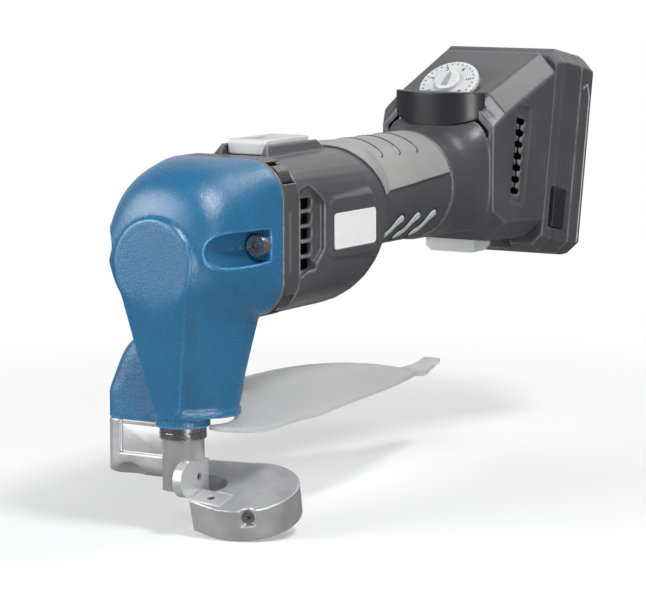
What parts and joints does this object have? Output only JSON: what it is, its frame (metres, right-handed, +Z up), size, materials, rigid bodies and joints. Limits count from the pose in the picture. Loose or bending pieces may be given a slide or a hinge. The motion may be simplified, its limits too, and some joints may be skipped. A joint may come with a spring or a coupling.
{
  "type": "cordless sheet metal shear",
  "caption": "Cordless throatless sheet-metal shear: barrel grip, gear head with ram and blades, curved lower arm with round table, clear hand guard and slide-on battery pack.",
  "frame": {"origin": "middle of the underside of the object's box, under the barrel", "axes": "+Y from the cutting head to the battery pack along the barrel, +Z up along the ram, +X to the tool's left (the side with the round table)"},
  "size_m": [0.0816, 0.3208, 0.1783],
  "materials": {
    "blue_paint": "fine textured semi-gloss",
    "dark_shell": "fine grain",
    "soft_panel": "matt",
    "light_trim": "satin",
    "white_plate": "satin",
    "clear_guard": "translucent",
    "blade_steel": "ground",
    "arm_steel": "cast and ground",
    "screw_black": "black oxide",
    "screw_steel": "bright",
    "bearing_steel": "ground",
    "bronze": "turned",
    "contact_brass": "plated",
    "copper": "wound",
    "black_plastic": "matt",
    "visor_black": "satin",
    "board_green": "lacquer",
    "cell_wrap": "wrap",
    "lead_red": "insulation"
  },
  "bodies": {
    "body": {"head_housing": "blue_paint", "head_screws": "screw_black", "corner_screws": "screw_black", "guide_bush": "bronze", "scraper_ring": "bearing_steel", "lower_arm": "arm_steel", "arm_screws": "screw_black", "lower_blade": "blade_steel", "lower_blade_screw": "screw_steel", "arm_set_screw": "screw_steel", "hand_guard": "clear_guard", "guard_bracket": "bearing_steel", "guard_screws": "screw_steel", "front_bearing": "bearing_steel", "rear_bearing": "bearing_steel", "gear_plate": "dark_shell", "stator": "copper", "motor_bearings": "bearing_steel", "left_shell": "dark_shell", "right_shell": "dark_shell", "shell_screws": "screw_black", "switch_module": "black_plastic", "soft_grip": "soft_panel", "stripe_inserts": "light_trim", "label_plate": "white_plate", "rear_housing": "dark_shell", "visor": "visor_black", "dial_potentiometer": "black_plastic", "circuit_board": "board_green", "battery_rail": "black_plastic", "contact_block": "contact_brass", "rest_foot": "light_trim", "motor_leads": "lead_red"},
    "eccentric": {"eccentric_shaft": "bearing_steel", "eccentric_roller": "bearing_steel", "drive_gear": "arm_steel"},
    "rotor": {"motor_shaft": "bearing_steel", "rotor": "arm_steel", "motor_fan": "black_plastic"},
    "ram": {"ram": "blade_steel", "upper_blade": "blade_steel", "upper_blade_screw": "screw_steel"},
    "switch": {"slide_switch": "light_trim", "switch_rod": "black_plastic"},
    "dial": {"speed_dial": "white_plate"},
    "pack": {"battery_case": "dark_shell", "battery_cover": "dark_shell", "battery_cells": "cell_wrap", "cell_straps": "bearing_steel"},
    "left_button": {"left_button": "visor_black"},
    "right_button": {"right_button": "visor_black"}
  },
  "joints": [
    {"name": "eccentric_spin", "type": "hinge", "parent": "body", "child": "eccentric", "pos_m": [-0.00363, -0.13937, 0.10742], "axis": [0, 1, 0], "continuous": true},
    {"name": "rotor_spin", "type": "hinge", "parent": "body", "child": "rotor", "pos_m": [-0.00363, -0.13937, 0.11992], "axis": [0, 1, 0], "continuous": true},
    {"name": "ram_stroke", "type": "slide", "parent": "body", "child": "ram", "axis": [0, 0, 1], "range_m": [-0.002, 0.002]},
    {"name": "switch_slide", "type": "slide", "parent": "body", "child": "switch", "axis": [0, -1, 0], "range_m": [0, 0.006]},
    {"name": "dial_turn", "type": "hinge", "parent": "body", "child": "dial", "pos_m": [-0.00363, 0.07763, 0.16242], "axis": [0, -0.6428, 0.766], "range_deg": [-135, 135]},
    {"name": "pack_slide", "type": "slide", "parent": "body", "child": "pack", "axis": [0, 0.1736, 0.9848], "range_m": [0, 0.07]},
    {"name": "left_press", "type": "slide", "parent": "pack", "child": "left_button", "axis": [-1, 0, 0], "range_m": [0, 0.0018], "stiffness_N_per_m": 600},
    {"name": "right_press", "type": "slide", "parent": "pack", "child": "right_button", "axis": [1, 0, 0], "range_m": [0, 0.0018], "stiffness_N_per_m": 600}
  ],
  "couplings": [
    {"joint": "rotor_spin", "follows": "eccentric_spin", "ratio": -4}
  ]
}
